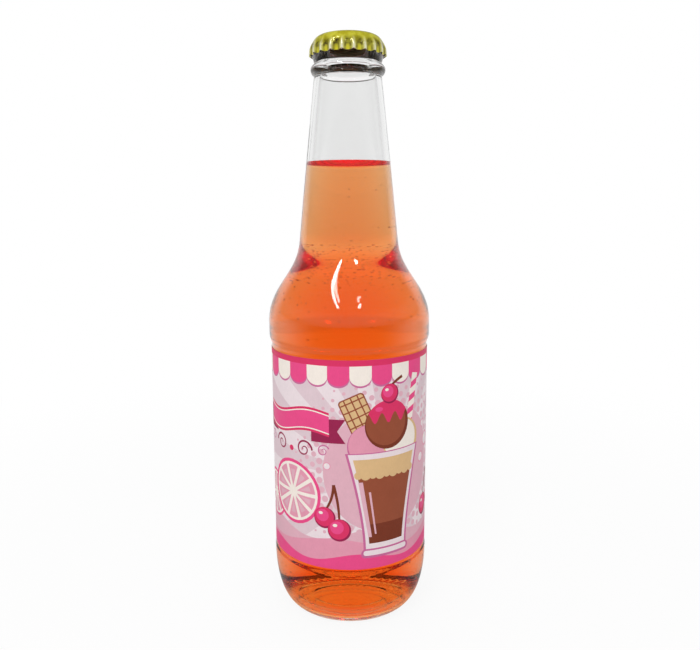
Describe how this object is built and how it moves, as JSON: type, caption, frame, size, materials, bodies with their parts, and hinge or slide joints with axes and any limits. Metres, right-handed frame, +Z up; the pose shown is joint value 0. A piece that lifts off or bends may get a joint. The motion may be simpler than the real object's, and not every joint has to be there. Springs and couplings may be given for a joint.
{
  "type": "glass soda bottle",
  "caption": "Sealed longneck glass bottle of soft drink with a paper label round its front and sides and a fluted metal crown that lifts off.",
  "frame": {"origin": "on the floor at the middle of the bottle's base", "axes": "+Z up along the bottle's axis, -Y towards the front of the label, +X to the viewer's right"},
  "size_m": [0.0623, 0.0622, 0.2185],
  "materials": {
    "clear_glass": "gloss",
    "orange_soda": "gloss",
    "printed_paper": "satin",
    "label_glue": "matte",
    "gold_lacquered_tinplate": "gloss",
    "liner_compound": "matte"
  },
  "bodies": {
    "bottle": {"glass_bottle": "clear_glass", "soda": "orange_soda", "label": "printed_paper", "label_adhesive": "label_glue"},
    "crown": {"crown_shell": "gold_lacquered_tinplate", "crown_liner": "liner_compound"}
  },
  "joints": [
    {"name": "crown_lift", "type": "slide", "parent": "bottle", "child": "crown", "axis": [0, 0, 1], "range_m": [0, 0.06]}
  ]
}
